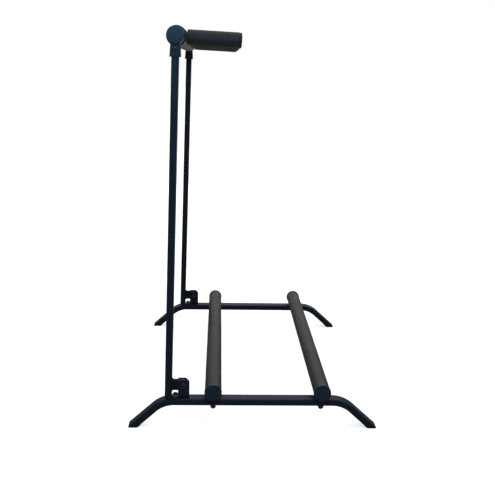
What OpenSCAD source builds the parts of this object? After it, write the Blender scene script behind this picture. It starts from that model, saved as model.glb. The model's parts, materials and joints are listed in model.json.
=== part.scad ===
// Folding rack for several guitars: two bent base rails, two padded base bars, a hinged upright
// frame and a padded neck bar with fingers. Millimetres, +Z up, origin on the floor in the middle
// of the base, front of the stand towards -Y.

/* [Base] */
// Distance between the centre lines of the two base rails
rail_spacing = 560; // [460:10:900]
// Length of the straight part of each rail
rail_straight = 282; // [274:2:420]
// Free height under the straight part of the rails
rail_clear = 42.5; // [36:0.5:60]
// Width of the flat rail tube
rail_w = 25; // [22:0.5:32]
// Height of the flat rail tube
rail_h = 12; // [10:0.5:16]
// Wall of the rail tube
rail_wall = 1.5; // [1:0.1:2]
// Rounding of the rail tube's long edges
rail_edge_r = 2.5; // [2.2:0.1:4]
// Inside radius of the bend at each rail end
bend_inner_r = 47; // [20:1:60]
// Angle by which the rail ends are bent down
bend_angle = 42; // [35:1:55]

/* [Feet] */
// Thickness of the rubber under the tube end
foot_t = 4; // [2:0.5:8]
// How far the rubber stands proud of the tube all round
foot_lip = 0.3; // [0.2:0.1:2]
// Height of the blunt edge at the toe
foot_nose = 1.5; // [0.5:0.1:3]
// Height of the plug inside the tube
foot_plug_h = 13; // [8:1:18]

/* [Base bars] */
// Distance of the rear bar behind the middle of the base
rear_bar_y = 72; // [40:1:80]
// Distance of the front bar in front of the middle of the base
front_bar_y = 122; // [90:1:126]
// Outside diameter of the steel bar tube
bar_tube_d = 22; // [19:0.5:25]
// Wall of the steel bar tube
bar_wall = 1.2; // [1:0.1:2]
// Outside diameter of the foam sleeve on the base bars
bar_foam_d = 30; // [29:0.5:36]
// Length of the plastic saddle under each bar end
saddle_l = 22; // [16:1:24]
// Width of the plastic saddle under each bar end
saddle_w = 16; // [12:0.5:18]
// How far the domed end cap stands out from the foam end
cap_out = 8; // [6:0.5:14]
// Straight rim of the domed end cap
cap_rim = 5; // [2:0.5:5]
// Length of the cap's plug in the tube
cap_plug = 12; // [8:1:20]

/* [Rail studs] */
// Diameter of the welded studs
stud_d = 6; // [5:0.5:8]
// Thickness of the washer under the rail
rail_washer_t = 1.2; // [0.8:0.1:2]
// Outside diameter of the washer under the rail
rail_washer_d = 12; // [11:0.5:16]
// Width across flats of the domed nut
cap_nut_af = 10; // [9.5:0.5:12]
// Height of the domed nut
cap_nut_h = 9.3; // [8:0.1:12]

/* [Hinge] */
// Distance of the pivot in front of the upright's foot
pivot_reach = 27; // [25.5:0.5:32]
// Height of the pivot above the rail top
pivot_rise = 23; // [19:0.5:28]
// Sheet thickness of the hinge bracket
ear_t = 2.5; // [2:0.1:3.5]
// Reach of the ears in front of the pivot
ear_front = 10.5; // [9.5:0.5:12]
// Reach of the ears behind the pivot
ear_back = 9.5; // [8.5:0.5:10]
// Height of the ears above the pivot
ear_top = 11; // [9:0.5:12]
// Corner cut at the front top of each ear
ear_chamfer = 6; // [2:0.5:7]
// Diameter of the pivot bolt
pivot_d = 6; // [5:0.5:8]
// Thickness of the hinge arm on the upright
arm_t = 5; // [4:0.5:8]
// Height of the hinge arm
arm_h = 20; // [14:0.5:20]
// Thickness of the nylon washers beside the arm
pivot_washer_t = 1; // [0.6:0.1:2]
// Outside diameter of the nylon washers
pivot_washer_d = 14; // [11:0.5:16]

/* [Uprights] */
// Distance of the uprights' feet behind the start of the rear bend
upright_back = 11; // [9:0.5:16]
// Width of the upright tube across the stand
upright_w = 25; // [18:0.5:30]
// Thickness of the upright tube from front to back
upright_t = 12; // [11:0.5:14]
// Wall of the upright tube
upright_wall = 1.5; // [1:0.1:2]
// Rounding of the upright tube's edges
upright_edge_r = 2.5; // [2.2:0.1:4]
// Forward lean of the uprights in degrees
lean = 1.3; // [0:0.1:2]
// Height of the neck bar axis above the rail top, along the uprights
neck_rise = 624; // [450:2:800]

/* [Knuckles] */
// Diameter of the round knuckle head
knuckle_d = 28.5; // [28:0.5:36]
// Wall of the knuckle socket around the upright
knuckle_wall = 2.5; // [2:0.1:4]
// Length from the neck bar axis down to the end of the socket
knuckle_drop = 34; // [32:1:50]
// Material between the neck bar bore and the end of the upright
knuckle_seat = 5; // [3.5:0.5:8]
// Collar at the lower end of the socket
knuckle_rim = 0.4; // [0.3:0.1:1.5]
// Height of the round cover on the knuckle
cover_t = 3.5; // [2:0.5:6]
// Depth of the recess for the clamp bolt's head
clamp_recess = 6; // [5:0.5:8]
// Web between the neck bar bore and that recess
clamp_web = 4; // [3:0.5:5]

/* [Neck bar] */
// Outside diameter of the steel neck bar tube
neck_tube_d = 22; // [19:0.5:22]
// Outside diameter of the foam on the neck bar
neck_foam_d = 36; // [32:0.5:42]
// Length of the threaded plug in each end of the neck bar
neck_plug = 18; // [14:1:30]
// Distance of the outer fingers from the centre lines of the rails
finger_margin = 75; // [60:1:110]
// Reach of a finger from the neck bar axis to its tip
finger_reach = 109; // [80:1:140]
// Outside diameter of the finger foam
finger_foam_d = 27; // [24:0.5:34]
// How far the finger foam is pressed over the neck bar's foam
finger_sink = 4; // [0:0.5:6]
// Diameter of the steel rod in a finger
finger_rod_d = 12; // [10:0.5:16]
// Droop of the fingers below a square to the uprights
finger_droop = 1; // [0:0.5:5]
// Thickness of the cap at the finger tip
finger_cap_t = 4.5; // [2:0.5:5]
// Diameter of the clamp bolts and finger screws
clamp_d = 6; // [5:0.5:7]

/* [Hidden] */
$fn = 64;

steel_black = [0.09, 0.10, 0.13];
zinc = [0.42, 0.43, 0.45];
foam_black = [0.20, 0.19, 0.19];
plastic_black = [0.08, 0.10, 0.13];
rubber_black = [0.07, 0.07, 0.08];
nylon_white = [0.85, 0.85, 0.82];

fit = 0.05;          // radial play of a shaft in its hole
slip = 0.1;          // play of a plug in a tube
seat_gap = 0.3;      // gap between a moving piece and what it rests on
soft_gap = 0.1;      // gap between a foam end and its neighbour
pass = 0.2;          // extra radius of a clearance hole
over = 1;            // how far a cutting solid runs past a face
end_gap = 0.5;       // gap beside a turning tube end
cap_more = 0.5;      // a bar cap stands proud of the foam's skin by this much
cap_step = 0.5;      // a finger cap stands back this much from the foam's skin

rail_top = rail_clear + rail_h;
rail_x = rail_spacing / 2;
bend_start = rail_straight / 2;
bend_mid_r = bend_inner_r + rail_h / 2;
bend_outer_r = bend_inner_r + rail_h;
bend_centre_z = rail_top - bend_outer_r;
leg_drop = rail_top - bend_outer_r * (1 - cos(bend_angle));
leg_l = leg_drop / sin(bend_angle) + rail_h;
toe_reach = bend_start + bend_outer_r * sin(bend_angle) + leg_drop / tan(bend_angle)
    + foot_lip / sin(bend_angle);
toe_y = toe_reach - foot_nose / tan(bend_angle);
seam = 0.02;         // the leg's tube is this much slimmer than the bend, so that the two join cleanly
seam_lap = 0.3;      // how far the leg reaches into the bend

bar_z = rail_top + bar_foam_d / 2;
bar_in_d = bar_tube_d - 2 * bar_wall;
bar_end = rail_x + rail_w / 2;
saddle_top = bar_z - sqrt(pow(bar_tube_d / 2, 2) - pow(saddle_w / 2, 2));
nut_top = rail_clear - rail_washer_t;

side_play = 0.1;     // play beside each nylon washer
ear_gap = arm_t + 2 * pivot_washer_t + 4 * side_play;
bracket_w = ear_gap + 2 * ear_t;
bracket_bend_r = ear_t + 0.5;
upright_y = bend_start + upright_back;
pivot_y = upright_y - pivot_reach;
pivot_z = rail_top + pivot_rise;
tab_w = rail_w - 1;
tab_screw_in = 4;    // from the rail's side to the tab screws
tab_screw_x = rail_w / 2 - tab_screw_in;
tab_end = upright_y - upright_t / 2 - 1;
tab_screw_y = (pivot_y + ear_back + tab_end) / 2;
nut_more = 4;        // a lock nut is this much wider across its flats than its bolt
screw_d = 4;
screw_head_d = 7;
screw_head_h = 2.4;
screw_l = 9;

upright_in_w = upright_w - 2 * upright_wall;
upright_in_t = upright_t - 2 * upright_wall;
plug_flange = 2;
plug_l = 12;
upright_bottom = seat_gap + upright_t / 2 * tan(lean);
upright_start = upright_bottom + plug_flange;
upright_end = neck_rise - neck_tube_d / 2 - knuckle_seat;
pivot_local_y = -pivot_reach * cos(lean) + pivot_rise * sin(lean);
pivot_local_z = pivot_reach * sin(lean) + pivot_rise * cos(lean);
weld = 2.5;

edge_more = 1.5;     // the knuckle's edges are this much rounder than the upright's
head_more = 5;       // a clamp bolt's head is this much wider than its shank
head_room = 2.5;     // free room for a tool round the clamp bolt's head
clamp_head_d = clamp_d + head_more;
knuckle_w = upright_w + 2 * knuckle_wall;
knuckle_t = upright_t + 2 * knuckle_wall;
knuckle_edge_r = upright_edge_r + edge_more;
rim_h = 3;
clamp_recess_d = clamp_head_d + 2 * head_room;
knuckle_screw_in = 5; // from the end of the upright down to the knuckle's screw
knuckle_screw_drop = neck_tube_d / 2 + knuckle_seat + knuckle_screw_in;
bore_end = knuckle_w / 2 - clamp_recess - clamp_web;

neck_wall = 1.2;
neck_half = rail_x + bore_end - end_gap;
neck_foam_half = rail_x - knuckle_w / 2 - end_gap;
clamp_head_h = 3.6;
finger_count = 4;
finger_span = rail_spacing - 2 * finger_margin;
finger_pitch = finger_span / (finger_count - 1);
finger_foam_start = neck_foam_d / 2 + soft_gap - finger_sink;
finger_thread = 20;
thread_spare = 3;    // free thread ahead of a bolt's end

// Small shapes used by many pieces

module rounded_rect(w, h, r) {
    square([w - 2 * r, h], center = true);
    square([w, h - 2 * r], center = true);
    for (sx = [-1, 1], sy = [-1, 1])
        translate([sx * (w / 2 - r), sy * (h / 2 - r)]) circle(r);
}

// A cylinder along X, from x0 to x1
module rod_x(d, x0, x1) {
    translate([x0, 0, 0]) rotate([0, 90, 0]) cylinder(d = d, h = x1 - x0);
}

// A cylinder along Y, from y0 to y1
module rod_y(d, y0, y1) {
    translate([0, y0, 0]) rotate([-90, 0, 0]) cylinder(d = d, h = y1 - y0);
}

// A low dome of base diameter d and height h on the plane z = 0
module dome(d, h) {
    ball_r = (d * d / 4 + h * h) / (2 * h);
    rotate_extrude() intersection() {
        translate([0, h - ball_r]) circle(ball_r, $fn = 240);
        square([d / 2, h + over]);
    }
}

// A hexagon prism by its width across flats
module hexagon(af, h) {
    cylinder(d = af / cos(30), h = h, $fn = 6);
}

// A screw with a domed head, standing on z = 0 with its shank below; driver is "cross" or "hex"
module domed_screw(d, l, head_d, head_h, driver) {
    difference() {
        union() {
            cylinder(d = head_d, h = head_h * 0.4);
            translate([0, 0, head_h * 0.4]) dome(head_d, head_h * 0.6);
            translate([0, 0, -l]) cylinder(d = d, h = l);
        }
        translate([0, 0, head_h * 0.45]) {
            if (driver == "cross")
                for (turn = [0, 90]) rotate([0, 0, turn])
                    cube([head_d * 0.55, head_d * 0.14, head_h * 2], center = true);
            else
                hexagon(head_d * 0.38, head_h);
        }
    }
}

module washer(d, hole_d, t) {
    difference() {
        cylinder(d = d, h = t);
        translate([0, 0, -over]) cylinder(d = hole_d, h = t + 2 * over);
    }
}

// Places its children once at each rail, mirrored so that +X always points outwards
module each_side() {
    for (s = [-1, 1]) side(s) children();
}

module side(s) {
    translate([s * rail_x, 0, 0]) mirror([s < 0 ? 1 : 0, 0, 0]) children();
}

// Places its children at every crossing of a base bar and a rail
module each_crossing() {
    for (s = [-1, 1], y = [-front_bar_y, rear_bar_y]) translate([s * rail_x, y, 0]) children();
}

// The frame of an upright: origin at its foot on the rail top, Z along the tube
module on_upright() {
    translate([0, upright_y, rail_top]) rotate([lean, 0, 0]) children();
}

module on_neck_axis() {
    on_upright() translate([0, 0, neck_rise]) children();
}

// The frame of one finger: Y runs against the reach of the finger
module on_finger(i) {
    on_neck_axis()
        translate([finger_pitch * i - finger_span / 2, 0, 0])
            rotate([finger_droop, 0, 0]) children();
}

// Base

module on_leg() {
    translate([0, bend_start, bend_centre_z])
        rotate([-bend_angle, 0, 0])
            translate([0, 0, bend_mid_r])
                rotate([-90, 0, 0]) children();
}

module rail_sweep(w, h, r) {
    translate([0, bend_start, bend_centre_z + bend_mid_r])
        rotate([90, 0, 0]) linear_extrude(2 * bend_start) rounded_rect(w, h, r);
    for (m = [0, 1]) mirror([0, m, 0]) {
        translate([0, bend_start, bend_centre_z])
            rotate([0, -90, 0]) rotate_extrude(angle = bend_angle)
                translate([bend_mid_r, 0]) rounded_rect(h, w, r);
        on_leg() translate([0, 0, -seam_lap])
            linear_extrude(leg_l + seam_lap) rounded_rect(w - 2 * seam, h - 2 * seam, r);
    }
}

module rail() {
    color(steel_black) difference() {
        rail_sweep(rail_w, rail_h, rail_edge_r);
        rail_sweep(rail_w - 2 * rail_wall, rail_h - 2 * rail_wall, rail_edge_r - rail_wall);
        translate([-rail_w, -2 * toe_reach, foot_t - rail_h - leg_l])
            cube([2 * rail_w, 4 * toe_reach, rail_h + leg_l]);
        for (y = [-front_bar_y, rear_bar_y])
            translate([0, y, rail_clear - over])
                cylinder(d = stud_d + 2 * pass, h = rail_h + 2 * over);
        for (s = [-1, 1])
            translate([s * tab_screw_x, tab_screw_y, rail_top - rail_h / 2])
                cylinder(d = screw_d + 2 * fit, h = rail_h);
    }
}

module foot(sx, sy) {
    color(rubber_black)
        translate([sx * rail_x, 0, 0]) mirror([0, sy < 0 ? 1 : 0, 0]) {
            intersection() {
                on_leg() linear_extrude(leg_l + rail_h)
                    rounded_rect(rail_w + 2 * foot_lip, rail_h + 2 * foot_lip, rail_edge_r + foot_lip);
                translate([-rail_w, 0, 0]) cube([2 * rail_w, toe_y, foot_t]);
            }
            intersection() {
                on_leg() linear_extrude(leg_l)
                    rounded_rect(rail_w - 2 * rail_wall - 2 * slip, rail_h - 2 * rail_wall - 2 * slip,
                        rail_edge_r - rail_wall - slip);
                translate([-rail_w, 0, foot_t / 2])
                    cube([2 * rail_w, toe_reach, foot_t / 2 + foot_plug_h]);
            }
        }
}

// The steel tube of a base bar with its two welded studs
module bar_tube(y) {
    stud_in = bar_wall * 0.7;
    stud_top = bar_z - bar_tube_d / 2 + stud_in;
    stud_end = nut_top - cap_nut_h * 0.7;
    color(zinc) translate([0, y, 0]) {
        translate([0, 0, bar_z]) difference() {
            rod_x(bar_tube_d, -bar_end, bar_end);
            rod_x(bar_in_d, -bar_end - over, bar_end + over);
        }
        for (s = [-1, 1])
            translate([s * rail_x, 0, stud_end]) cylinder(d = stud_d, h = stud_top - stud_end);
    }
}

module bar_foam(y) {
    foam_end = bar_end - end_gap;
    color(foam_black) translate([0, y, 0]) difference() {
        translate([0, 0, bar_z]) difference() {
            rod_x(bar_foam_d, -foam_end, foam_end);
            rod_x(bar_tube_d + 2 * fit, -foam_end - over, foam_end + over);
        }
        for (s = [-1, 1])
            translate([s * rail_x - rail_w / 2 - over, -saddle_w / 2 - seat_gap, rail_top - bar_foam_d])
                cube([rail_w + 2 * over, saddle_w + 2 * seat_gap,
                    saddle_top + seat_gap - rail_top + bar_foam_d]);
    }
}

module bar_saddles() {
    color(plastic_black) each_crossing() difference() {
        translate([-saddle_l / 2, -saddle_w / 2, rail_top])
            cube([saddle_l, saddle_w, saddle_top - rail_top]);
        translate([0, 0, bar_z]) rod_x(bar_tube_d + 2 * fit, -saddle_l, saddle_l);
        translate([0, 0, rail_clear]) cylinder(d = stud_d + 2 * pass, h = bar_z - rail_clear);
    }
}

module bar_cap(sx, y) {
    cap_d = bar_foam_d + 2 * cap_more;
    color(plastic_black) side(sx) translate([0, y, bar_z]) {
        rod_x(bar_in_d - 2 * slip, rail_w / 2 - cap_plug, rail_w / 2 + cap_rim);
        rod_x(cap_d, rail_w / 2, rail_w / 2 + cap_rim);
        translate([rail_w / 2 + cap_rim, 0, 0]) rotate([0, 90, 0]) dome(cap_d, cap_out - cap_rim);
    }
}

module rail_washers() {
    color(zinc) each_crossing()
        translate([0, 0, nut_top]) washer(rail_washer_d, stud_d + 2 * pass, rail_washer_t);
}

module cap_nuts() {
    hex_h = cap_nut_h * 0.55;
    color(zinc) each_crossing() translate([0, 0, nut_top]) mirror([0, 0, 1]) difference() {
        union() {
            hexagon(cap_nut_af, hex_h);
            translate([0, 0, hex_h]) dome(cap_nut_af - 0.6, cap_nut_h - hex_h);
        }
        translate([0, 0, -over]) cylinder(d = stud_d + 2 * fit, h = cap_nut_h * 0.75 + over);
    }
}

// Hinge

module hinge_bracket(s) {
    height = pivot_rise + ear_top;
    length = ear_front + ear_back;
    color(steel_black) side(s) translate([0, pivot_y, rail_top]) difference() {
        union() {
            translate([0, ear_back, 0]) rotate([90, 0, 0]) linear_extrude(length) difference() {
                union() {
                    translate([-bracket_w / 2, bracket_bend_r]) square([bracket_w, height - bracket_bend_r]);
                    translate([-bracket_w / 2 + bracket_bend_r, 0])
                        square([bracket_w - 2 * bracket_bend_r, height]);
                    for (sx = [-1, 1])
                        translate([sx * (bracket_w / 2 - bracket_bend_r), bracket_bend_r])
                            circle(bracket_bend_r);
                }
                translate([-ear_gap / 2, ear_t]) square([ear_gap, height]);
            }
            linear_extrude(ear_t)
                translate([0, (ear_back + tab_end - pivot_y) / 2])
                    rounded_rect(tab_w, tab_end - pivot_y - ear_back, 2.5);
        }
        rotate([90, 0, 90]) linear_extrude(bracket_w + over, center = true)
            polygon([
                [-ear_front - over, height - ear_chamfer - over],
                [-ear_front + ear_chamfer + over, height + over],
                [-ear_front - over, height + over]
            ]);
        translate([0, 0, pivot_rise]) rod_x(pivot_d + 2 * fit, -bracket_w, bracket_w);
        for (sx = [-1, 1])
            translate([sx * tab_screw_x, tab_screw_y - pivot_y, -over])
                cylinder(d = screw_d + 2 * fit, h = ear_t + 2 * over);
    }
}

module bracket_screws() {
    color(zinc) each_side() for (sx = [-1, 1])
        translate([sx * tab_screw_x, tab_screw_y, rail_top + ear_t])
            domed_screw(screw_d, ear_t + rail_wall + 2, screw_head_d, screw_head_h, "cross");
}

module pivot_bolts() {
    nut_h = pivot_d;
    color(zinc) each_side() translate([bracket_w / 2, pivot_y, pivot_z]) rotate([0, 90, 0])
        domed_screw(pivot_d, bracket_w + nut_h + over, pivot_d * 1.75, pivot_d * 0.55, "hex");
}

module pivot_nuts() {
    nut_af = pivot_d + nut_more;
    nut_h = pivot_d;
    color(zinc) each_side() translate([-bracket_w / 2, pivot_y, pivot_z]) rotate([0, -90, 0]) difference() {
        union() {
            hexagon(nut_af, nut_h * 0.7);
            cylinder(d = nut_af - 1, h = nut_h);
        }
        translate([0, 0, -over]) cylinder(d = pivot_d + 2 * fit, h = nut_h + 2 * over);
    }
}

module pivot_washers() {
    color(nylon_white) each_side() for (sx = [-1, 1])
        translate([sx * (arm_t / 2 + side_play) + (sx < 0 ? -pivot_washer_t : 0), pivot_y, pivot_z])
            rotate([0, 90, 0]) washer(pivot_washer_d, pivot_d + 2 * fit, pivot_washer_t);
}

// Upright frame

module upright(s) {
    reach = -pivot_local_y;
    color(steel_black) translate([s * rail_x, 0, 0]) on_upright() {
        difference() {
            translate([0, 0, upright_start]) linear_extrude(upright_end - upright_start)
                rounded_rect(upright_w, upright_t, upright_edge_r);
            translate([0, 0, upright_start - over]) linear_extrude(upright_end - upright_start + 2 * over)
                rounded_rect(upright_in_w, upright_in_t, upright_edge_r - upright_wall);
            translate([0, 0, neck_rise - knuckle_screw_drop])
                rod_x(screw_d + 2 * fit, s < 0 ? -upright_w : 0, s < 0 ? 0 : upright_w);
        }
        translate([0, 0, pivot_local_z]) difference() {
            rotate([90, 0, 90]) linear_extrude(arm_t, center = true) {
                translate([-reach, -arm_h / 2]) square([reach - upright_t / 2 + upright_wall / 2, arm_h]);
                translate([-reach, 0]) circle(d = arm_h);
            }
            translate([0, -reach, 0]) rod_x(pivot_d + 2 * fit, -arm_t, arm_t);
        }
        for (sx = [-1, 1]) translate([0, -upright_t / 2, pivot_local_z - arm_h / 2]) linear_extrude(arm_h)
            polygon([[sx * (arm_t / 2 - 0.2), 0.2], [sx * (arm_t / 2 + weld), 0.2],
                [sx * (arm_t / 2 - 0.2), -weld]]);
    }
}

module upright_plugs() {
    color(plastic_black) each_side() on_upright() translate([0, 0, upright_bottom]) {
        linear_extrude(plug_flange) rounded_rect(upright_w, upright_t, upright_edge_r);
        linear_extrude(plug_flange + plug_l)
            rounded_rect(upright_in_w - 2 * slip, upright_in_t - 2 * slip,
                upright_edge_r - upright_wall - slip);
    }
}

module knuckle(s) {
    half = knuckle_w / 2;
    color(plastic_black) side(s) on_neck_axis() difference() {
        union() {
            rod_x(knuckle_d, -half, half);
            translate([0, 0, -knuckle_drop]) linear_extrude(knuckle_drop)
                rounded_rect(knuckle_w, knuckle_t, knuckle_edge_r);
            translate([0, 0, -knuckle_drop]) linear_extrude(rim_h)
                rounded_rect(knuckle_w + 2 * knuckle_rim, knuckle_t + 2 * knuckle_rim,
                    knuckle_edge_r + knuckle_rim);
        }
        translate([0, 0, -knuckle_drop - over])
            linear_extrude(knuckle_drop + over - neck_tube_d / 2 - knuckle_seat + slip)
                rounded_rect(upright_w + 2 * slip, upright_t + 2 * slip, upright_edge_r + slip);
        rod_x(neck_tube_d + 2 * fit, -half - over, bore_end);
        rod_x(clamp_d + 2 * fit, 0, half);
        rod_x(clamp_recess_d, half - clamp_recess, half + over);
        translate([0, 0, -knuckle_screw_drop]) rod_x(screw_d + 2 * fit, 0, half + over);
    }
}

module knuckle_cap(s) {
    half = knuckle_w / 2;
    cover_rim = cover_t * 0.45;
    cover_plug = (clamp_recess - clamp_head_h) / 2;
    color(plastic_black) side(s) on_neck_axis() {
        rod_x(clamp_recess_d - 2 * slip, half - cover_plug, half + cover_rim);
        rod_x(knuckle_d, half, half + cover_rim);
        translate([half + cover_rim, 0, 0]) rotate([0, 90, 0]) dome(knuckle_d, cover_t - cover_rim);
    }
}

module knuckle_screws() {
    color(zinc) each_side() on_neck_axis()
        translate([knuckle_w / 2, 0, -knuckle_screw_drop]) rotate([0, 90, 0])
            domed_screw(screw_d, screw_l, screw_head_d, screw_head_h, "cross");
}

// Neck bar

module neck_bar_tube() {
    color(zinc) difference() {
        on_neck_axis() difference() {
            rod_x(neck_tube_d, -neck_half, neck_half);
            rod_x(neck_tube_d - 2 * neck_wall, -neck_half - over, neck_half + over);
        }
        for (i = [0 : finger_count - 1]) on_finger(i)
            rod_y(clamp_d + 2 * fit, -neck_tube_d, neck_tube_d);
    }
}

module neck_bar_foam() {
    color(foam_black) difference() {
        on_neck_axis() difference() {
            rod_x(neck_foam_d, -neck_foam_half, neck_foam_half);
            rod_x(neck_tube_d + 2 * fit, -neck_foam_half - over, neck_foam_half + over);
        }
        for (i = [0 : finger_count - 1]) on_finger(i) {
            rod_y(finger_rod_d + 2 * fit, -neck_foam_d, 0);
            rod_y(clamp_head_d + 2 * pass, 0, neck_foam_d);
        }
    }
}

module neck_bar_plugs() {
    color(plastic_black) each_side() on_neck_axis() difference() {
        rod_x(neck_tube_d - 2 * neck_wall - 2 * slip, bore_end - end_gap - neck_plug, bore_end - end_gap);
        rod_x(clamp_d + 2 * fit, bore_end - end_gap - neck_plug - over, bore_end);
    }
}

module neck_bar_bolts() {
    head_seat = knuckle_w / 2 - clamp_recess + slip;
    color(zinc) each_side() on_neck_axis() translate([head_seat, 0, 0]) rotate([0, 90, 0])
        domed_screw(clamp_d, clamp_web + end_gap + neck_plug - thread_spare, clamp_head_d, clamp_head_h,
            "hex");
}

module finger_rod(i) {
    color(zinc) difference() {
        on_finger(i) difference() {
            rod_y(finger_rod_d, -finger_reach + finger_cap_t / 2, -neck_tube_d / 4);
            rod_y(clamp_d + 2 * fit, -neck_tube_d / 2 - finger_thread, 0);
        }
        on_neck_axis() rod_x(neck_tube_d + 2 * fit, -neck_half, neck_half);
    }
}

module finger_foam(i) {
    foam_tip = finger_reach - finger_cap_t - soft_gap;
    color(foam_black) on_finger(i) difference() {
        rod_y(finger_foam_d, -foam_tip, -finger_foam_start);
        rod_y(finger_rod_d + 2 * fit, -finger_reach, 0);
        rod_x(neck_foam_d + 2 * soft_gap, -finger_foam_d, finger_foam_d);
    }
}

module finger_cap(i) {
    cap_d = finger_foam_d - 2 * cap_step;
    color(plastic_black) on_finger(i) difference() {
        union() {
            rod_y(cap_d, -finger_reach + finger_cap_t / 2, -finger_reach + finger_cap_t);
            translate([0, -finger_reach + finger_cap_t / 2, 0]) rotate([90, 0, 0])
                dome(cap_d, finger_cap_t / 2);
        }
        rod_y(finger_rod_d + 2 * fit, -finger_reach + finger_cap_t / 2 - fit, 0);
    }
}

module finger_screws() {
    color(zinc) for (i = [0 : finger_count - 1]) on_finger(i)
        translate([0, neck_tube_d / 2 + fit, 0]) rotate([-90, 0, 0])
            domed_screw(clamp_d, neck_tube_d + finger_thread - thread_spare, clamp_head_d, clamp_head_h,
                "cross");
}

translate([-rail_x, 0, 0]) rail();  // rail_left
translate([rail_x, 0, 0]) rail();  // rail_right
foot(-1, -1);  // foot_front_left
foot(-1, 1);  // foot_rear_left
foot(1, -1);  // foot_front_right
foot(1, 1);  // foot_rear_right
bar_tube(-front_bar_y);  // front_bar_tube
bar_tube(rear_bar_y);  // rear_bar_tube
bar_foam(-front_bar_y);  // front_bar_foam
bar_foam(rear_bar_y);  // rear_bar_foam
bar_cap(-1, -front_bar_y);  // front_bar_cap_left
bar_cap(1, -front_bar_y);  // front_bar_cap_right
bar_cap(-1, rear_bar_y);  // rear_bar_cap_left
bar_cap(1, rear_bar_y);  // rear_bar_cap_right
bar_saddles();
rail_washers();
cap_nuts();
hinge_bracket(-1);  // hinge_bracket_left
hinge_bracket(1);  // hinge_bracket_right
bracket_screws();
pivot_bolts();
pivot_nuts();
upright(-1);  // upright_left
upright(1);  // upright_right
pivot_washers();
upright_plugs();
knuckle(-1);  // knuckle_left
knuckle(1);  // knuckle_right
knuckle_cap(-1);  // knuckle_cap_left
knuckle_cap(1);  // knuckle_cap_right
knuckle_screws();
neck_bar_tube();
neck_bar_foam();
neck_bar_plugs();
neck_bar_bolts();
finger_screws();
finger_rod(0);  // finger_rod_1
finger_rod(1);  // finger_rod_2
finger_rod(2);  // finger_rod_3
finger_rod(3);  // finger_rod_4
finger_foam(0);  // finger_foam_1
finger_foam(1);  // finger_foam_2
finger_foam(2);  // finger_foam_3
finger_foam(3);  // finger_foam_4
finger_cap(0);  // finger_cap_1
finger_cap(1);  // finger_cap_2
finger_cap(2);  // finger_cap_3
finger_cap(3);  // finger_cap_4
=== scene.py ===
import json
import math
import bmesh
import bpy
from mathutils import Matrix, Quaternion, Vector


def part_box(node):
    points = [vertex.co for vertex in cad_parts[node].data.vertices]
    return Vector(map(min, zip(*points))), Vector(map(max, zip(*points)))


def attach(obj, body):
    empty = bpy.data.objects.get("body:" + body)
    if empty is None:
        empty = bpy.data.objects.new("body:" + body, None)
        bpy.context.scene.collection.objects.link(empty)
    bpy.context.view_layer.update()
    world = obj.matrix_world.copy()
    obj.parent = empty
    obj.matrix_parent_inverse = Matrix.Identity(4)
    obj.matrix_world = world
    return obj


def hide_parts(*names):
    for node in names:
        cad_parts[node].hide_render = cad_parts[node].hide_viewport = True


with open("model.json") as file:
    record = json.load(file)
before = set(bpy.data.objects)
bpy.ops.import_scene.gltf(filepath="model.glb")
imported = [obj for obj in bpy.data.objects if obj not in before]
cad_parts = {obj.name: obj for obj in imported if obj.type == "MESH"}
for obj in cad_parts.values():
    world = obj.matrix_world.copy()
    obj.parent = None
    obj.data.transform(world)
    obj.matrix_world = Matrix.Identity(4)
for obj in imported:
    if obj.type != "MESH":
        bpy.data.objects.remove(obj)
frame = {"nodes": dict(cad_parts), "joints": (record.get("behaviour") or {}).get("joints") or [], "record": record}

mm = 0.001
tiny = 0.001 * mm    # nearer than this is the same place
white = (1, 1, 1, 1)
studio = bpy.context.scene
cadNodes = frame["nodes"]
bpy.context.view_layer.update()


# Places taken from the frame

def middleOf(node):
    low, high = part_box(node)
    return (low + high) / 2


def sizeOf(node):
    low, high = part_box(node)
    return high - low


def spanAlong(node, origin, aim):
    # Nearest and farthest that a node reaches from the origin along the aim.
    steps = [(vertex.co - origin).dot(aim) for vertex in cadNodes[node].data.vertices]
    return min(steps), max(steps)


right, up = Vector((1, 0, 0)), Vector((0, 0, 1))
sideways = Vector((0, 1, 1))    # keeps only what the side view shows
railX = middleOf("rail_right").x
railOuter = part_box("rail_right")[1].x
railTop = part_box("rail_right")[1].z
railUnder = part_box("rail_washers")[1].z
tubeWide, tubeDeep = sizeOf("rail_right").x, railTop - railUnder
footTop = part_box("rail_right")[0].z
railPoints = [vertex.co for vertex in cadNodes["rail_right"].data.vertices]
bendStart = max(point.y for point in railPoints if point.z > railTop - tiny)
pivot = Vector(next(joint["pos_m"] for joint in frame["joints"] if joint["name"] == "fold"))
neckAxis = middleOf("neck_bar_tube")
frontBar = Vector((0, middleOf("front_bar_foam").y, middleOf("front_bar_cap_left").z))
rearBar = Vector((0, middleOf("rear_bar_foam").y, middleOf("rear_bar_cap_left").z))
fingerAim = ((middleOf("finger_cap_1") - neckAxis) * sideways).normalized()
fingerNumbers = (1, 2, 3, 4)
fingerRow = [middleOf("finger_cap_%d" % number).x for number in fingerNumbers]
fingerSeats = [Vector((x, neckAxis.y, neckAxis.z)) for x in fingerRow]
uprightAim = ((neckAxis - middleOf("upright_plugs")) * sideways).normalized()
uprightBack = uprightAim.cross(right)


# Camera, lights and floor

cameraView = {
    "place": (-1.58837, 0.0653, 0.63446),
    "yaw": 0.0379,     # radians towards the front of the stand
    "pitch": -0.2319,  # radians, looking down
    "roll": 0.0202,
    "lens": 56.5,
    "sensor": 36.0,
    "farClip": 200,
}

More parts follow.
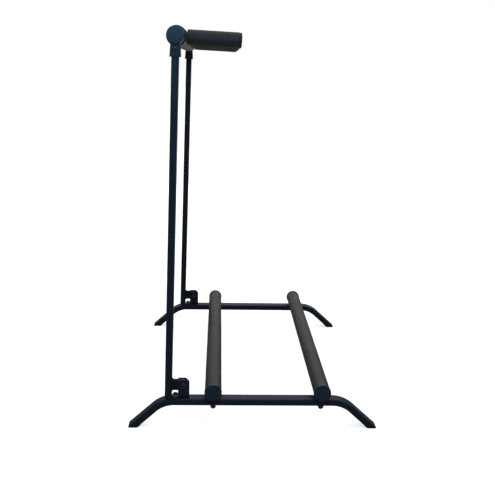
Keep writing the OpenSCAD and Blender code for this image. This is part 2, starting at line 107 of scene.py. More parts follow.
studioLight = {
    "skyStrength": 0.06,      # what lights the stand
    "backdropStrength": 1.0,  # what the camera sees past the floor
    "sunStrength": 2.2,
    "sunColour": (1.0, 0.95, 0.90),
    "sunSpread": 100,         # degrees, wide for soft shadows
    "sunFrom": (0.25, -0.25, 1.6),
    "panels": {
        # power in watts, colour, size, place, target
        "coolPanel": (2.25, (0.36, 0.66, 0.95), 0.3, (-0.84, 0.18, 0.86), (-0.30, 0.14, 0.64)),
        "backPanel": (14, (1.0, 0.98, 0.97), 2.4, (2.4, 0.0, 1.0), (0.0, 0.0, 0.4)),
    },
    "floorSize": 40.0,
    "floorSeen": 0.70,        # share of light that the camera sees the floor give back
    "floorLift": 0.70,        # light added there, which keeps the shadows faint
    "floorBounce": 0.40,      # share of light that the floor throws on the stand
}


def addCamera(view):
    lens = bpy.data.cameras.new("photoCamera")
    lens.lens = view["lens"]
    lens.sensor_width = view["sensor"]
    lens.clip_end = view["farClip"]
    camera = bpy.data.objects.new("photoCamera", lens)
    yaw, pitch = view["yaw"], view["pitch"]
    forward = Vector((math.cos(yaw) * math.cos(pitch), -math.sin(yaw) * math.cos(pitch), math.sin(pitch)))
    camera.location = view["place"]
    camera.rotation_mode = "QUATERNION"
    camera.rotation_quaternion = forward.to_track_quat("-Z", "Y") @ Quaternion((0, 0, 1), view["roll"])
    studio.collection.objects.link(camera)
    studio.camera = camera


def hangLamp(name, kind, energy, colour, place, aim):
    lamp = bpy.data.lights.new(name, kind)
    lamp.energy = energy
    lamp.color = colour
    holder = bpy.data.objects.new(name, lamp)
    holder.location = place
    holder.visible_camera = False
    holder.rotation_mode = "QUATERNION"
    holder.rotation_quaternion = Vector(aim).to_track_quat("-Z", "Y")
    studio.collection.objects.link(holder)
    return lamp


def forCamera(tree, unseen, seen):
    # One surface for the light on the stand and another for what the camera sees of it.
    isSeen = addNode(tree, "ShaderNodeLightPath").outputs["Is Camera Ray"]
    return addNode(tree, "ShaderNodeMixShader", {0: isSeen, 1: unseen, 2: seen})


def addLights(light):
    sunPlace, sunAim = (0, 0, 2), -Vector(light["sunFrom"])
    sun = hangLamp("softSun", "SUN", light["sunStrength"], light["sunColour"], sunPlace, sunAim)
    sun.angle = math.radians(light["sunSpread"])
    for name, (power, colour, size, place, target) in light["panels"].items():
        panel = hangLamp(name, "AREA", power, colour, place, Vector(target) - Vector(place))
        panel.size = size
    world = bpy.data.worlds.new("paleRoom")
    world.use_nodes = True
    tree = world.node_tree
    tree.nodes.clear()
    sky, backdrop = (addNode(tree, "ShaderNodeBackground", {"Color": white, "Strength": light[strength]})
                     for strength in ("skyStrength", "backdropStrength"))
    addNode(tree, "ShaderNodeOutputWorld", {"Surface": forCamera(tree, sky, backdrop)})
    studio.world = world
    studio.view_settings.view_transform = "Standard"


def addFloor(light):
    half = light["floorSize"] / 2
    corners = [(-half, -half, 0), (half, -half, 0), (half, half, 0), (-half, half, 0)]
    floor = newPiece("floor", corners, [(0, 1, 2, 3)])
    material = bpy.data.materials.new("paleFloor")
    material.use_nodes = True
    tree = material.node_tree
    tree.nodes.clear()
    pale, dim = (addNode(tree, "ShaderNodeBsdfDiffuse", {"Color": (light[share],) * 3 + (1,)})
                 for share in ("floorSeen", "floorBounce"))
    lift = addNode(tree, "ShaderNodeEmission", {"Color": white, "Strength": light["floorLift"]})
    bright = addNode(tree, "ShaderNodeAddShader", {0: pale, 1: lift})
    addNode(tree, "ShaderNodeOutputMaterial", {"Surface": forCamera(tree, dim, bright)})
    floor.data.materials.append(material)


# Small tools for meshes and node trees

def newPiece(name, points=(), faces=(), edges=()):
    mesh = bpy.data.meshes.new(name)
    mesh.from_pydata(points, edges, faces)
    mesh.update()
    piece = bpy.data.objects.new(name, mesh)
    studio.collection.objects.link(piece)
    return piece


def feed(tree, socket, value):
    # Links a node or a socket, or sets a plain value.
    if isinstance(value, bpy.types.Node):
        value = value.outputs[0]
    if isinstance(value, bpy.types.NodeSocket):
        tree.links.new(value, socket)
    else:
        socket.default_value = value


def addNode(tree, kind, inputs=None, **settings):
    node = tree.nodes.new(kind)
    for label, value in settings.items():
        setattr(node, label, value)
    for label, value in (inputs or {}).items():
        feed(tree, node.inputs[label], value)
    return node


def geoNode(tree, kind, inputs=None, **settings):
    return addNode(tree, "GeometryNode" + kind, inputs, **settings)


def calc(tree, operation, *values):
    return addNode(tree, "ShaderNodeMath", dict(enumerate(values)), operation=operation).outputs[0]


def calcVector(tree, operation, *values):
    node = addNode(tree, "ShaderNodeVectorMath", operation=operation)
    for place, value in enumerate(values):
        isScale = operation == "SCALE" and place == 1
        feed(tree, node.inputs["Scale" if isScale else place], value)
    return node.outputs["Value" if operation in ("DISTANCE", "LENGTH") else "Vector"]


def vectorOf(tree, x=0.0, y=0.0, z=0.0):
    return addNode(tree, "ShaderNodeCombineXYZ", {"X": x, "Y": y, "Z": z}).outputs[0]


def spread(tree, value, fromLow, fromHigh, toLow=0.0, toHigh=1.0):
    inputs = {"Value": value, "From Min": fromLow, "From Max": fromHigh, "To Min": toLow, "To Max": toHigh}
    return addNode(tree, "ShaderNodeMapRange", inputs).outputs[0]


def noise(tree, place, scale, detail=2, **more):
    inputs = {"Vector": place, "Scale": scale, "Detail": detail, **more}
    kind = "4D" if "W" in more else "3D"
    return addNode(tree, "ShaderNodeTexNoise", inputs, noise_dimensions=kind).outputs[0]


def shift(tree, geometry, spot=(0, 0, 0), turn=(0, 0, 0), scale=(1, 1, 1)):
    return geoNode(tree, "Transform",
                   {"Geometry": geometry, "Translation": spot, "Rotation": turn, "Scale": scale})


def rectangle(tree, width, height):
    return geoNode(tree, "CurvePrimitiveQuadrilateral", {"Width": width, "Height": height})


def circle(tree, sides, radius):
    return geoNode(tree, "CurvePrimitiveCircle", {"Resolution": sides, "Radius": radius}, mode="RADIUS")


def roundOver(tree, curve, radius, steps):
    return geoNode(tree, "FilletCurve",
                   {"Curve": curve, "Count": steps, "Radius": radius, "Limit Radius": True}, mode="POLY")


def sweep(tree, path, section, **more):
    return geoNode(tree, "CurveToMesh", {"Curve": path, "Profile Curve": section, **more})


def pillar(tree, sides, lowRadius, topRadius, depth):
    return geoNode(tree, "MeshCone", {
        "Vertices": sides, "Radius Top": topRadius, "Radius Bottom": lowRadius, "Depth": depth})


def combine(tree, operation, *meshes):
    # A difference takes all later meshes from the first; a union joins them all.
    node = geoNode(tree, "MeshBoolean", operation=operation, solver="EXACT")
    for place, mesh in enumerate(meshes):
        first = operation == "DIFFERENCE" and place == 0
        feed(tree, node.inputs[0 if first else 1], mesh)
    return node


def together(tree, *meshes):
    node = geoNode(tree, "JoinGeometry")
    for mesh in meshes:
        feed(tree, node.inputs[0], mesh)
    return node


def newTree(name, sockets):
    tree = bpy.data.node_groups.new(name, "GeometryNodeTree")
    tree.interface.new_socket("Geometry", in_out="INPUT", socket_type="NodeSocketGeometry")
    tree.interface.new_socket("Geometry", in_out="OUTPUT", socket_type="NodeSocketGeometry")
    for label, kind in sockets.items():
        tree.interface.new_socket(label, in_out="INPUT", socket_type="NodeSocket" + kind)
    given = tree.nodes.new("NodeGroupInput").outputs
    return tree, given


def endTree(tree, geometry):
    feed(tree, tree.nodes.new("NodeGroupOutput").inputs[0], geometry)
    return tree


def useTree(tree, inner, inputs):
    return geoNode(tree, "Group", inputs, node_tree=inner)


def growPiece(name, tree, inputs, points, edges=(), aims=None):
    # The host's points are the seats or the path that the tree works on.
    piece = newPiece(name, points, edges=edges)
    if aims:
        aim = piece.data.attributes.new("aim", "FLOAT_VECTOR", "POINT")
        aim.data.foreach_set("vector", [value for direction in aims for value in direction])
    modifier = piece.modifiers.new(name, "NODES")
    modifier.node_group = tree
    for socket in tree.interface.items_tree:
        if socket.item_type == "SOCKET" and socket.in_out == "INPUT" and socket.name in inputs:
            modifier[socket.identifier] = inputs[socket.name]
    return bakePiece(piece)


def bakePiece(piece):
    # Turns what the modifiers make into a plain mesh.
    bpy.context.view_layer.update()
    grown = bpy.data.meshes.new_from_object(piece.evaluated_get(bpy.context.evaluated_depsgraph_get()))
    piece.modifiers.clear()
    piece.data = grown
    grown.name = piece.name
    return piece


def slotOf(node):
    return next(part["material_slot"] for part in frame["record"]["subparts"] if part["node"] == node)


def floats(*labels):
    return dict.fromkeys(labels, "Float")


def fromLook(look, *labels):
    # Inputs that the look holds under the same names, written as one word.
    return {label: look[label[0].lower() + label[1:].replace(" ", "")] for label in labels}


def settle(piece, body, slotName, *nodes):
    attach(piece, body)
    if nodes:
        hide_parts(*nodes)
    return piece


def growRow(name, tree, body, nodes, seats, inputs):
    # One piece with the tree's shape on each seat, in the finish of the nodes that it stands for.
    slotName = slotOf(nodes[0])
    piece = growPiece(name, tree, {**inputs, "Material": finishes[slotName]},
                      points=[place for place, aim in seats], aims=[aim for place, aim in seats])
    return settle(piece, body, slotName, *nodes)


def meltEdges(piece, node):
    # Smooth faces with sharp corners, in the node's own finish.
    piece.data.shade_smooth()
    piece.data.set_sharp_from_angle(angle=softEdges["from"])
    piece.data.materials.clear()
    piece.data.materials.append(finishes[slotOf(node)])


# Finishes

powderCoat = {
    "colours": ((0.0115, 0.0185, 0.0310), (0.0155, 0.0245, 0.0400)),    # deep and faint
    "roughness": (0.36, 0.48),
    "peel": (650, 0.035 * mm),    # waves per metre of the orange peel and their depth
    "gloss": 0.07,
}
sleeveFoam = {
    "colours": ((0.0080, 0.0076, 0.0080), (0.0140, 0.0132, 0.0136)),
    "roughness": (0.50, 0.66),
    "poreScale": 900,
    "poreWall": (0.05, 0.5),   # from the middle of a cell to its edge
    "poreShare": 0.45,         # of the depth, the rest are wider waves
    "waveScale": 150,
    "poreDepth": 0.10 * mm,
    "gloss": 0.40,
}
glossPlastic = {
    "colours": ((0.0130, 0.0250, 0.0420), (0.0170, 0.0310, 0.0520)),
    "roughness": (0.28, 0.36),
    "peel": (240, 0.012 * mm),
    "gloss": 0.14,
}
grainedPlastic = {
    "colours": ((0.0110, 0.0200, 0.0330), (0.0150, 0.0260, 0.0420)),
    "roughness": (0.40, 0.54),
    "peel": (1400, 0.06 * mm),
    "gloss": 0.12,
}
footRubber = {
    "colours": ((0.0065, 0.0075, 0.0110), (0.0110, 0.0125, 0.0170)),
    "roughness": (0.65, 0.85),
    "peel": (1100, 0.05 * mm),
    "gloss": 0.15,
}
darkZinc = {
    "colours": ((0.014, 0.022, 0.036), (0.026, 0.038, 0.056)),
    "roughness": (0.28, 0.45),
    "peel": (500, 0.01 * mm),
    "metal": 0.35,
}
bareSteel = {
    "colours": ((0.34, 0.34, 0.35), (0.46, 0.46, 0.47)),
    "roughness": (0.25, 0.42),
    "peel": (700, 0.008 * mm),
    "metal": 1.0,
}
whiteNylon = {
    "colours": ((0.62, 0.61, 0.56), (0.70, 0.69, 0.64)),
    "roughness": (0.35, 0.5),
    "peel": (600, 0.01 * mm),
}
mottle = {
    "cloudScale": 38,
    "cloudDetail": 4,
    "cloudRoughness": 0.6,
    "speckleScale": 420,
    "share": 0.5,                # of the speckle and of the cloud
    "colourRange": (0.36, 0.64),
    "dullRange": (0.3, 0.7),
}


def finish(name, look):
    # Cloudy colour, uneven gloss and a fine skin: what every coated or moulded surface here shares.
    material = bpy.data.materials.new(name)
    material.use_nodes = True
    tree = material.node_tree
    shader = tree.nodes["Principled BSDF"]
    shader.inputs["Metallic"].default_value = look.get("metal", 0.0)
    shader.inputs["Specular IOR Level"].default_value = look.get("gloss", 0.5)
    place = addNode(tree, "ShaderNodeTexCoord").outputs["Object"]
    cloud = noise(tree, place, mottle["cloudScale"], mottle["cloudDetail"],
                  Roughness=mottle["cloudRoughness"])
    speckle = noise(tree, place, mottle["speckleScale"])
    half = mottle["share"]
    blend = calc(tree, "MULTIPLY_ADD", speckle, half, calc(tree, "MULTIPLY", cloud, half))
    ramp = spread(tree, blend, *mottle["colourRange"])
    deep, faint = ((*colour, 1) for colour in look["colours"])
    colours = {0: ramp, 6: deep, 7: faint}
    colour = addNode(tree, "ShaderNodeMix", colours, data_type="RGBA").outputs[2]
    feed(tree, shader.inputs["Base Color"], colour)
    feed(tree, shader.inputs["Roughness"], spread(tree, blend, *mottle["dullRange"], *look["roughness"]))
    if "poreScale" in look:
        height, depth = foamPores(tree, place, look), look["poreDepth"]
    else:
        scale, depth = look["peel"]
        height = noise(tree, place, scale)
    bump = addNode(tree, "ShaderNodeBump", {"Strength": 1.0, "Distance": depth, "Height": height})
    feed(tree, shader.inputs["Normal"], bump)
    return material


def foamPores(tree, place, look):
    # Fine closed cells in the skin, with shallow wider waves between them.
    cells = addNode(tree, "ShaderNodeTexVoronoi", {"Vector": place, "Scale": look["poreScale"]},
                    feature="F1")
    pit = spread(tree, cells.outputs["Distance"], *look["poreWall"])
    return calc(tree, "MULTIPLY_ADD", pit, look["poreShare"], noise(tree, place, look["waveScale"], 3))


finishes = {
    "black_steel": finish("powderCoat", powderCoat),
    "foam": finish("sleeveFoam", sleeveFoam),
    "gloss_plastic": finish("glossPlastic", glossPlastic),
    "black_plastic": finish("grainedPlastic", grainedPlastic),
    "foot_rubber": finish("footRubber", footRubber),
    "dark_zinc": finish("darkZinc", darkZinc),
    "bare_steel": finish("bareSteel", bareSteel),
    "nylon": finish("whiteNylon", whiteNylon),
}
addCamera(cameraView)
addLights(studioLight)
addFloor(studioLight)
print("camera, lights, floor and", len(finishes), "finishes made")


# Node trees for what follows a rule

ringSockets = {**floats("Length", "Outer Radius", "Bore Radius", "Edge Radius", "Step"), "Sides": "Int"}
discSockets = {**floats("Radius", "Rim", "Dome", "Shoulder"), "Rings": "Int", "Sides": "Int"}
painted = {"Material": "Material"}
edgeSteps = {"ring": 4, "tube": 6, "weld": 5}    # facets in each rounded corner
sharpFrom = math.radians(35)
alongX = (0, math.pi / 2, 0)


def cutIntoSteps(tree, curve, step):
    # Cuts each straight side of a curve into pieces no longer than the step.
    here = geoNode(tree, "InputPosition")
    index = geoNode(tree, "InputIndex")
    following = geoNode(tree, "OffsetPointInCurve", {"Point Index": index, "Offset": 1})
    there = geoNode(tree, "FieldAtIndex",
                    {"Value": here, "Index": following.outputs["Point Index"]}, data_type="FLOAT_VECTOR")
    share = calc(tree, "DIVIDE", calcVector(tree, "DISTANCE", here, there), step)
    cuts = addNode(tree, "FunctionNodeFloatToInt", {0: share}, rounding_mode="FLOOR")
    return geoNode(tree, "SubdivideCurve", {"Curve": curve, "Cuts": cuts})


def shadeByAngle(tree, geometry):
    smooth = geoNode(tree, "SetShadeSmooth", {"Geometry": geometry, "Shade Smooth": True}, domain="FACE")
    angle = geoNode(tree, "InputMeshEdgeAngle").outputs[0]
    sharp = calc(tree, "GREATER_THAN", angle, sharpFrom)
    return geoNode(tree, "SetShadeSmooth",
                   {"Geometry": smooth, "Selection": sharp, "Shade Smooth": False}, domain="EDGE")


def paintAndEnd(tree, given, geometry):
    real = geoNode(tree, "RealizeInstances", {"Geometry": geometry})
    shaded = shadeByAngle(tree, real)
    inputs = {"Geometry": shaded, "Material": given["Material"]}
    return endTree(tree, geoNode(tree, "SetMaterial", inputs))


def placeOnSeats(tree, given, part):
    # Turns the part's Z axis along each seat's aim.
    aim = geoNode(tree, "InputNamedAttribute", {"Name": "aim"}, data_type="FLOAT_VECTOR")
    turn = addNode(tree, "FunctionNodeAlignRotationToVector", {"Vector": aim}, axis="Z")
    return geoNode(tree, "InstanceOnPoints",
                   {"Points": given["Geometry"], "Instance": part, "Rotation": turn})


def roundedRingTree():
    # A ring or sleeve along Z with rounded edges: a rounded wall section swept round a circle.
    tree, given = newTree("roundedRing", ringSockets)
    outer, bore = given["Outer Radius"], given["Bore Radius"]
    section = rectangle(tree, calc(tree, "SUBTRACT", outer, bore), given["Length"])
    rounded = roundOver(tree, section, given["Edge Radius"], edgeSteps["ring"])
    stepped = cutIntoSteps(tree, rounded, given["Step"])
    middle = calc(tree, "MULTIPLY", calc(tree, "ADD", outer, bore), 0.5)
    return endTree(tree, sweep(tree, circle(tree, given["Sides"], middle), stepped))


def domedDiscTree():
    # A disc from z = 0 with a straight rim and a dome; Shoulder 1 is an ellipse, less is flatter on top.
    tree, given = newTree("domedDisc", discSockets)
    size = {"Vertices": given["Sides"], "Side Segments": 1, "Fill Segments": given["Rings"],
            "Radius": given["Radius"], "Depth": given["Rim"]}
    disc = geoNode(tree, "MeshCylinder", size, fill_type="TRIANGLE_FAN")
    place = geoNode(tree, "InputPosition").outputs[0]
    height = addNode(tree, "ShaderNodeSeparateXYZ", {0: place}).outputs[2]
    onTop = calc(tree, "GREATER_THAN", height, 0.0)
    flat = calcVector(tree, "MULTIPLY", place, (1, 1, 0))
    share = calc(tree, "DIVIDE", calcVector(tree, "LENGTH", flat), given["Radius"])
    angle = calc(tree, "MULTIPLY", calc(tree, "MINIMUM", share, 1.0), math.pi / 2)
    notZero = calc(tree, "MAXIMUM", share, 0.0001)
    wide = calc(tree, "DIVIDE", calc(tree, "SINE", angle), notZero)
    steep = calc(tree, "POWER", calc(tree, "MAXIMUM", calc(tree, "COSINE", angle), 0.0), given["Shoulder"])
    rise = calc(tree, "MULTIPLY", calc(tree, "MULTIPLY", given["Dome"], steep), onTop)
    lift = calc(tree, "ADD", calc(tree, "MULTIPLY_ADD", given["Rim"], 0.5, height), rise)
    spot = calcVector(tree, "ADD", calcVector(tree, "SCALE", flat, wide), vectorOf(tree, z=lift))
    return endTree(tree, geoNode(tree, "SetPosition", {"Geometry": disc, "Position": spot}))


roundedRing = roundedRingTree()
domedDisc = domedDiscTree()


# Bent rails

railBend = {
    "bendRadius": 53 * mm,  # at the middle of the tube
    "angle": math.radians(42),
    "edgeRadius": 2.5 * mm,
    "bendSteps": 20,
    "step": 12 * mm,
    "cutter": (2, 2, 0.2),  # of the block that cuts the feet level
}


def bentTubeTree():
    # A rounded flat tube swept along a path with round bends, cut off level at its feet.
    tree, given = newTree("bentTube", {
        **floats("Width", "Height", "Edge Radius", "Bend Radius", "Step", "Floor Cut"),
        "Bend Steps": "Int", **painted})
    path = geoNode(tree, "MeshToCurve", {"Mesh": given["Geometry"]})
    bent = roundOver(tree, path, given["Bend Radius"], given["Bend Steps"])
    stepped = cutIntoSteps(tree, bent, given["Step"])
    level = geoNode(tree, "SetCurveNormal", {"Curve": stepped}, mode="Z_UP")
    section = rectangle(tree, given["Width"], given["Height"])
    rounded = roundOver(tree, section, given["Edge Radius"], edgeSteps["tube"])
    tube = sweep(tree, level, rounded, **{"Fill Caps": True})
    block = geoNode(tree, "MeshCube", {"Size": railBend["cutter"]})
    low = vectorOf(tree, z=calc(tree, "SUBTRACT", given["Floor Cut"], railBend["cutter"][2] / 2))
    cut = combine(tree, "DIFFERENCE", tube, shift(tree, block, low))
    return paintAndEnd(tree, given, cut)


def makeRails():
    tree = bentTubeTree()
    middle = (railTop + railUnder) / 2
    turn = bendStart + railBend["bendRadius"] * math.tan(railBend["angle"] / 2)
    drop = middle + sizeOf("rail_right").z
    toe = turn + drop / math.tan(railBend["angle"])
    outline = [(-toe, middle - drop), (-turn, middle), (turn, middle), (toe, middle - drop)]
    for side, x in (("left", -railX), ("right", railX)):
        piece = growPiece(side + "Rail", tree, {
            **fromLook(railBend, "Edge Radius", "Bend Radius", "Bend Steps", "Step"),
            "Width": tubeWide,
            "Height": tubeDeep,
            "Floor Cut": footTop,
            "Material": finishes["black_steel"],
        }, points=[(x, y, z) for y, z in outline], edges=[(0, 1), (1, 2), (2, 3)])
        settle(piece, "base", "black_steel", "rail_" + side)


makeRails()
print("rails swept")


# Foam sleeves

sleeve = {
    "boreClearance": 0.05 * mm,
    "dentScale": 22,
    "dentDetail": 3,
    "dentLevel": 0.72,       # a noise over this would push the skin out
}
barFoam = {
    "edgeRadius": 1.6 * mm,
    "step": 4 * mm,
    "sides": 80,
    "dentDepth": 0.5 * mm,
    "notchPlay": 0.3 * mm,   # free room round each saddle
    "notchMore": 1.0 * mm,   # how far the notch passes the rail
    "notchDrop": 2.0 * mm,   # and the sleeve's underside
    "seeds": {"front": 3, "rear": 11},
}
neckFoam = {
    "slack": 1.0 * mm,       # how far the skin lies inside the space kept for it
    "edgeRadius": 1.8 * mm,
    "step": 4 * mm,
    "sides": 96,
    "dentDepth": 0.5 * mm,
    "rodPlay": 0.05 * mm,
    "headPlay": 0.2 * mm,
    "drillSides": 40,
    "seed": 5,
}
fingerFoam = {
    "edgeRadius": 1.2 * mm,
    "step": 2.4 * mm,
    "sides": 72,
    "dentDepth": 0.4 * mm,
    "press": 1.5 * mm,       # how far the flat end presses into the neck bar's foam
    "seed": 8,
}
sleeveSockets = {**ringSockets, **floats("Dent Depth", "Seed"), **painted}


def ringIn(tree, given):
    return useTree(tree, roundedRing, {label: given[label] for label in ringSockets})


def dentSkin(tree, geometry, depth, seed):
    # Long shallow dents and a little sag, pushed in along the skin's normals.
    place = geoNode(tree, "InputPosition")
    dents = noise(tree, place, sleeve["dentScale"], sleeve["dentDetail"], W=seed)
    push = calc(tree, "MULTIPLY", calc(tree, "SUBTRACT", dents, sleeve["dentLevel"]), depth)
    offset = calcVector(tree, "SCALE", geoNode(tree, "InputNormal"), push)
    return geoNode(tree, "SetPosition", {"Geometry": geometry, "Offset": offset})


def barSleeveTree():
    # A sleeve along X, with a box cut from its underside at each rail.
    tree, given = newTree("barSleeve", {
        **sleeveSockets, "Place": "Vector", "Notch Size": "Vector", "Notch Place": "Vector"})
    along = shift(tree, ringIn(tree, given), turn=alongX)
    dented = dentSkin(tree, along, given["Dent Depth"], given["Seed"])
    box = geoNode(tree, "MeshCube", {"Size": given["Notch Size"]})
    mirrored = calcVector(tree, "MULTIPLY", given["Notch Place"], (-1, 1, 1))
    notches = [shift(tree, box, place) for place in (given["Notch Place"], mirrored)]
    cut = combine(tree, "DIFFERENCE", dented, *notches)
    return paintAndEnd(tree, given, shift(tree, cut, given["Place"]))


def neckSleeveTree():
    # A sleeve along X with a hole for each finger's rod and a recess for its bolt head behind.
    tree, given = newTree("neckSleeve", {
        **sleeveSockets, **floats("Rod Radius", "Head Radius"), "Place": "Vector"})
    placed = shift(tree, ringIn(tree, given), given["Place"], alongX)
    dented = dentSkin(tree, placed, given["Dent Depth"], given["Seed"])
    drills = []
    for label, side in (("Rod Radius", 1), ("Head Radius", -1)):
        size = {"Vertices": neckFoam["drillSides"], "Radius": given[label], "Depth": given["Outer Radius"]}
        drill = geoNode(tree, "MeshCylinder", size)
        reach = vectorOf(tree, z=calc(tree, "MULTIPLY", given["Outer Radius"], side))
        drills.append(shift(tree, drill, reach))
    rows = placeOnSeats(tree, given, together(tree, *drills))
    real = geoNode(tree, "RealizeInstances", {"Geometry": rows})
    return paintAndEnd(tree, given, combine(tree, "DIFFERENCE", dented, real))


def fingerRowTree():
    # One sleeve on each seat along the seat's aim.
    tree, given = newTree("fingerRow", {**sleeveSockets, **floats("Start")})
    middle = calc(tree, "MULTIPLY_ADD", given["Length"], 0.5, given["Start"])
    row = placeOnSeats(tree, given, shift(tree, ringIn(tree, given), vectorOf(tree, z=middle)))
    real = geoNode(tree, "RealizeInstances", {"Geometry": row})
    dented = dentSkin(tree, real, given["Dent Depth"], given["Seed"])
    return paintAndEnd(tree, given, dented)


def sleeveInputs(look, seed, length, outer, bore):
    return {
        **fromLook(look, "Edge Radius", "Step", "Sides", "Dent Depth"),
        "Length": length,
        "Outer Radius": outer,
        "Bore Radius": bore + sleeve["boreClearance"],
        "Seed": float(seed),
    }


def makeBarFoam():
    tree = barSleeveTree()
    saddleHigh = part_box("bar_saddles")[1]
    notchWidth = 2 * (saddleHigh.y - rearBar.y + barFoam["notchPlay"])
    for end, place in (("front", frontBar), ("rear", rearBar)):
        node = end + "_bar_foam"
        radius = place.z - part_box(node)[0].z
        bore = sizeOf(end + "_bar_tube").y / 2
        notchTop = saddleHigh.z + barFoam["notchPlay"] - place.z
        notchDeep = radius + barFoam["notchDrop"] + notchTop
        piece = growRow(end + "BarFoam", tree, "base", [node], [(place, right)], {
            **sleeveInputs(barFoam, barFoam["seeds"][end], sizeOf(node).x, radius, bore),
            "Place": place,
            "Notch Size": (tubeWide + 2 * barFoam["notchMore"], notchWidth, notchDeep),
            "Notch Place": (railX, 0, notchTop - notchDeep / 2),
        })


def neckSkin():
    return sizeOf("neck_bar_foam").y / 2 - neckFoam["slack"]


def makeNeckFoam():
    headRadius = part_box("finger_screws")[1].x - fingerRow[-1]
    length, bore = sizeOf("neck_bar_foam").x, sizeOf("neck_bar_tube").y / 2
    seats = [(seat, fingerAim) for seat in fingerSeats]
    piece = growRow("neckBarFoam", neckSleeveTree(), "neck_bar", ["neck_bar_foam"], seats, {
        **sleeveInputs(neckFoam, neckFoam["seed"], length, neckSkin(), bore),
        "Place": neckAxis,
        "Rod Radius": sizeOf("finger_rod_1").x / 2 + neckFoam["rodPlay"],
        "Head Radius": headRadius + neckFoam["headPlay"],
    })


def makeFingerFoam():
    start = neckSkin() - fingerFoam["press"]
    length = spanAlong("finger_foam_1", neckAxis, fingerAim)[1] - start
    outer, bore = sizeOf("finger_foam_1").x / 2, sizeOf("finger_rod_1").x / 2
    nodes = ["finger_foam_%d" % number for number in fingerNumbers]
    seats = [(seat, fingerAim) for seat in fingerSeats]
    piece = growRow("fingerFoam", fingerRowTree(), "neck_bar", nodes, seats, {
        **sleeveInputs(fingerFoam, fingerFoam["seed"], length, outer, bore),
        "Start": start,
    })


makeBarFoam()
makeNeckFoam()
makeFingerFoam()
print("foam sleeves made")


# Domed end caps, knuckle covers and finger caps

capShape = {
    "barCap": {"rim": 5 * mm, "shoulder": 0.5},
    "knuckleCover": {"radius": 14.5 * mm, "height": 3.5 * mm, "rim": 2.4 * mm, "shoulder": 0.25},
    "fingerCap": {"rim": 2.3 * mm, "shoulder": 0.6},
    "rings": 14,
    "sides": 72,
}


def capRowTree():
    # The same domed cap on every seat.
    tree, given = newTree("capRow", {**discSockets, **painted})
    cap = useTree(tree, domedDisc, {label: given[label] for label in discSockets})
    return paintAndEnd(tree, given, placeOnSeats(tree, given, cap))


def makeCaps():
    tree = capRowTree()
    cover = capShape["knuckleCover"]
    barCaps = ["%s_bar_cap_%s" % (end, side) for end in ("front", "rear") for side in ("left", "right")]
    barSeats = [(Vector((side * railOuter, bar.y, bar.z)), right * side)
                for bar in (frontBar, rearBar) for side in (-1, 1)]
    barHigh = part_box("front_bar_cap_right")[1].x - railOuter
    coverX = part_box("knuckle_cap_right")[1].x - cover["height"]
    covers = ["knuckle_cap_left", "knuckle_cap_right"]
    coverSeats = [(Vector((side * coverX, neckAxis.y, neckAxis.z)), right * side) for side in (-1, 1)]
    tips = ["finger_cap_%d" % number for number in fingerNumbers]
    tipStart, tipEnd = spanAlong("finger_cap_1", neckAxis, fingerAim)
    tipSeats = [(seat + fingerAim * tipStart, fingerAim) for seat in fingerSeats]
    rows = [
        ("barCap", "base", sizeOf("front_bar_cap_left").y, barHigh, barSeats, barCaps),
        ("knuckleCover", "upright_frame", 2 * cover["radius"], cover["height"], coverSeats, covers),
        ("fingerCap", "neck_bar", sizeOf("finger_cap_1").x, tipEnd - tipStart, tipSeats, tips),
    ]
    for name, body, wide, high, seats, nodes in rows:
        shape = capShape[name]
        growRow(name + "s", tree, body, nodes, seats, {
            **fromLook(capShape, "Rings", "Sides"),
            **fromLook(shape, "Rim", "Shoulder"),
            "Radius": wide / 2,
            "Dome": high - shape["rim"],
        })


makeCaps()
print("caps and covers made")


# Screws, bolts, nuts and washers

fastener = {
    "crossScrew": {
        "headRadius": 3.5 * mm, "high": 2.4 * mm, "rim": 0.7 * mm, "shankRadius": 2 * mm,
        "shankLength": 5 * mm, "recessRadius": 1.9 * mm, "recessWidth": 0.3, "recessDepth": 1.3 * mm},
    "fingerBolt": {
        "headRadius": 5.5 * mm, "high": 3.6 * mm, "rim": 1.2 * mm, "shankRadius": 3 * mm,
        "shankLength": 30 * mm, "recessRadius": 2.9 * mm, "recessWidth": 0.28, "recessDepth": 2.2 * mm},
    "pivotBolt": {
        "headRadius": 5.25 * mm, "high": 3.3 * mm, "rim": 0.9 * mm, "shankRadius": 3 * mm,
        "recessRadius": 2.3 * mm, "recessWidth": 1.0, "recessDepth": 2.0 * mm},
    "shoulder": 0.8,
    "capNut": {
        "flats": 10 * mm, "hexHeight": 5.1 * mm, "collarRadius": 4.7 * mm, "rim": 0.5 * mm, "shoulder": 1.0},
    "lockNut": {
        "flats": 10 * mm, "hexHeight": 4.4 * mm, "collarRadius": 4.4 * mm, "rim": 1.1 * mm, "shoulder": 0.3},
    "chamfer": math.radians(30),
    "chamferStart": 0.97,        # share of the nut's half width
    "collarSink": 0.1 * mm,
    "recessTaper": 0.4,          # width of a cross at its bottom, as a share of its top
    "washerEdge": 0.25 * mm,
    "play": 0.2 * mm,
    "rings": 10,
    "sides": 48,
    "shankSides": 32,
}


def solidParts(node):
    # Lowest and highest corner of each separate solid in a CAD node.
    mesh = bmesh.new()
    mesh.from_mesh(cadNodes[node].data)
    bmesh.ops.remove_doubles(mesh, verts=mesh.verts, dist=tiny)
    waiting = set(mesh.verts)
    boxes = []
    while waiting:
        queue = [waiting.pop()]
        points = []
        while queue:
            point = queue.pop()
            points.append(point.co.copy())
            near = {edge.other_vert(point) for edge in point.link_edges} & waiting
            waiting -= near
            queue.extend(near)
        boxes.append((Vector(map(min, zip(*points))), Vector(map(max, zip(*points)))))
    mesh.free()
    return sorted(boxes, key=lambda box: tuple(box[0]))


